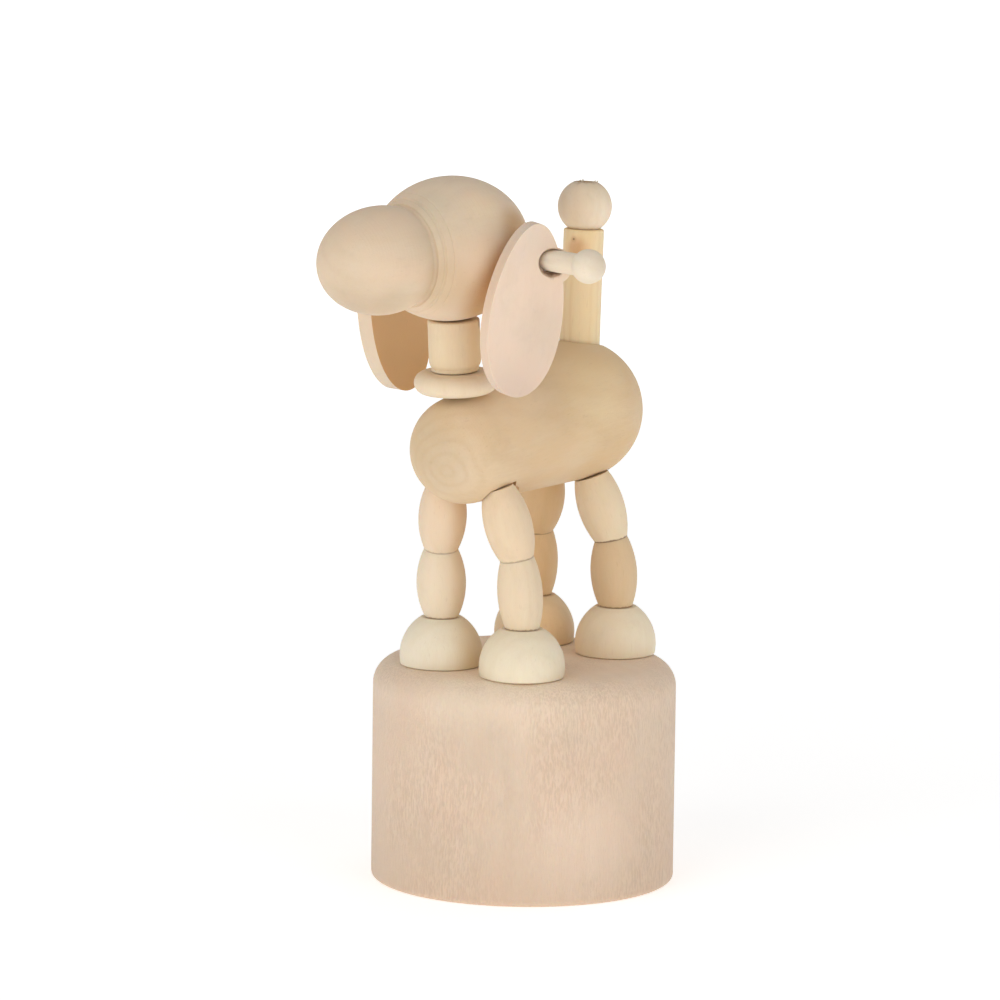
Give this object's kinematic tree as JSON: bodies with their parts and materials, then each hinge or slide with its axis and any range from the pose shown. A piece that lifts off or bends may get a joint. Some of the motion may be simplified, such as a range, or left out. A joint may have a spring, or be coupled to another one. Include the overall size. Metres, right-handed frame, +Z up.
{
  "type": "push puppet",
  "caption": "Wooden dog push puppet: turned beads strung on cords over a drum base, collapsing when the sprung button under the base is pressed.",
  "frame": {"origin": "middle of the base's underside, on the base's axis", "axes": "+Z up; the dog faces -Y; +X is the dog's left"},
  "size_m": [0.0562, 0.0701, 0.1138],
  "materials": {
    "pale_base_wood": "sanded, unfinished, long grain upright",
    "pale_foot_wood": "sanded, unfinished",
    "leg_wood": "turned, unfinished",
    "body_wood": "turned, unfinished, end grain on the chest",
    "head_wood": "turned, unfinished",
    "ear_wood": "sawn plate, sanded",
    "neck_wood": "turned, unfinished",
    "tail_wood": "dowel, unfinished",
    "peg_wood": "turned, unfinished",
    "plug_wood": "dowel end grain",
    "button_wood": "turned, unfinished",
    "cord": "twisted cotton",
    "spring_steel": "drawn wire"
  },
  "bodies": {
    "base": {"base": "pale_base_wood", "return_spring": "spring_steel", "foot_front_left": "pale_foot_wood", "foot_front_right": "pale_foot_wood", "foot_rear_left": "pale_foot_wood", "foot_rear_right": "pale_foot_wood", "cord_front_left": "cord", "cord_front_right": "cord", "cord_rear_left": "cord", "cord_rear_right": "cord"},
    "push_button": {"push_button": "button_wood", "cord_knots": "cord"},
    "lower_leg_front_left": {"lower_leg_front_left": "leg_wood"},
    "lower_leg_front_right": {"lower_leg_front_right": "leg_wood"},
    "lower_leg_rear_left": {"lower_leg_rear_left": "leg_wood"},
    "lower_leg_rear_right": {"lower_leg_rear_right": "leg_wood"},
    "upper_leg_front_left": {"upper_leg_front_left": "leg_wood"},
    "upper_leg_front_right": {"upper_leg_front_right": "leg_wood"},
    "upper_leg_rear_left": {"upper_leg_rear_left": "leg_wood"},
    "upper_leg_rear_right": {"upper_leg_rear_right": "leg_wood"},
    "body": {"body": "body_wood"},
    "collar_ring": {"collar_ring": "neck_wood"},
    "neck_bead": {"neck_bead": "neck_wood"},
    "head": {"head": "head_wood", "ear_peg_left": "peg_wood", "ear_peg_right": "peg_wood"},
    "ear_left": {"ear_left": "ear_wood"},
    "ear_right": {"ear_right": "ear_wood"},
    "tail_post": {"tail_post": "tail_wood"},
    "tail_ball": {"tail_ball": "tail_wood", "tail_plug": "plug_wood"}
  },
  "joints": [
    {"name": "button_press", "type": "slide", "parent": "base", "child": "push_button", "axis": [0, 0, 1], "range_m": [0, 0.008], "stiffness_N_per_m": 600, "springref_m": -0.006, "deforming": ["return_spring", "cord_front_left", "cord_front_right", "cord_rear_left", "cord_rear_right"]},
    {"name": "ankle_front_left", "type": "hinge", "parent": "base", "child": "lower_leg_front_left", "pos_m": [0.0087, -0.01513, 0.04264], "axis": [1, 0, 0], "range_deg": [0, 52.6]},
    {"name": "knee_front_left", "type": "hinge", "parent": "lower_leg_front_left", "child": "upper_leg_front_left", "pos_m": [0.00839, -0.01083, 0.05415], "axis": [-1, 0, 0], "range_deg": [0, 14.6]},
    {"name": "ankle_front_right", "type": "hinge", "parent": "base", "child": "lower_leg_front_right", "pos_m": [-0.0072, -0.01513, 0.04266], "axis": [1, 0, 0], "range_deg": [0, 52.6]},
    {"name": "knee_front_right", "type": "hinge", "parent": "lower_leg_front_right", "child": "upper_leg_front_right", "pos_m": [-0.00662, -0.01082, 0.05411], "axis": [-1, 0, 0], "range_deg": [0, 14.6]},
    {"name": "ankle_rear_left", "type": "hinge", "parent": "base", "child": "lower_leg_rear_left", "pos_m": [0.0079, 0.01066, 0.04265], "axis": [1, 0, 0], "range_deg": [0, 52.6]},
    {"name": "knee_rear_left", "type": "hinge", "parent": "lower_leg_rear_left", "child": "upper_leg_rear_left", "pos_m": [0.00753, 0.01517, 0.05388], "axis": [-1, 0, 0], "range_deg": [0, 14.6]},
    {"name": "ankle_rear_right", "type": "hinge", "parent": "base", "child": "lower_leg_rear_right", "pos_m": [-0.00825, 0.01077, 0.04272], "axis": [1, 0, 0], "range_deg": [0, 52.6]},
    {"name": "knee_rear_right", "type": "hinge", "parent": "lower_leg_rear_right", "child": "upper_leg_rear_right", "pos_m": [-0.0073, 0.0151, 0.05392], "axis": [-1, 0, 0], "range_deg": [0, 14.6]},
    {"name": "hip_front_left", "type": "hinge", "parent": "upper_leg_front_left", "child": "body", "pos_m": [0.00619, -0.01282, 0.06473], "axis": [-1, 0, 0], "range_deg": [0, 38.6]},
    {"name": "collar_tip", "type": "hinge", "parent": "body", "child": "collar_ring", "pos_m": [0.00048, -0.01999, 0.07941], "axis": [1, 0, 0], "range_deg": [0, 7.6]},
    {"name": "neck_tip", "type": "hinge", "parent": "collar_ring", "child": "neck_bead", "pos_m": [0.00048, -0.02239, 0.08358], "axis": [1, 0, 0], "range_deg": [0, 12.6]},
    {"name": "head_turn", "type": "hinge", "parent": "neck_bead", "child": "head", "pos_m": [0.00048, -0.02029, 0.09148], "axis": [0, -0.075, 0.9972], "range_deg": [-8, 34]},
    {"name": "ear_swing_left", "type": "hinge", "parent": "head", "child": "ear_left", "pos_m": [0.01865, -0.02002, 0.10215], "axis": [0.9781, -0.2079, 0], "range_deg": [-20, 20]},
    {"name": "ear_swing_right", "type": "hinge", "parent": "head", "child": "ear_right", "pos_m": [-0.01686, -0.01247, 0.10215], "axis": [0.9781, -0.2079, 0], "range_deg": [-20, 20]},
    {"name": "tail_tip", "type": "hinge", "parent": "body", "child": "tail_post", "pos_m": [0.00078, 0.01546, 0.08317], "axis": [-1, 0, 0], "range_deg": [0, 30.6]},
    {"name": "tail_ball_tip", "type": "hinge", "parent": "tail_post", "child": "tail_ball", "pos_m": [0.00078, 0.01554, 0.1023], "axis": [-1, 0, 0], "range_deg": [0, 10.6]}
  ],
  "couplings": [
    {"joint": "ankle_front_left", "follows": "button_press", "rad_per_m": 113.45},
    {"joint": "knee_front_left", "follows": "button_press", "rad_per_m": 30.543},
    {"joint": "ankle_front_right", "follows": "button_press", "rad_per_m": 113.45},
    {"joint": "knee_front_right", "follows": "button_press", "rad_per_m": 30.543},
    {"joint": "ankle_rear_left", "follows": "button_press", "rad_per_m": 113.45},
    {"joint": "knee_rear_left", "follows": "button_press", "rad_per_m": 30.543},
    {"joint": "ankle_rear_right", "follows": "button_press", "rad_per_m": 113.45},
    {"joint": "knee_rear_right", "follows": "button_press", "rad_per_m": 30.543},
    {"joint": "hip_front_left", "follows": "button_press", "rad_per_m": 82.903},
    {"joint": "collar_tip", "follows": "button_press", "rad_per_m": 15.272},
    {"joint": "neck_tip", "follows": "button_press", "rad_per_m": 26.18},
    {"joint": "tail_tip", "follows": "button_press", "rad_per_m": 65.45},
    {"joint": "tail_ball_tip", "follows": "button_press", "rad_per_m": 21.817}
  ]
}
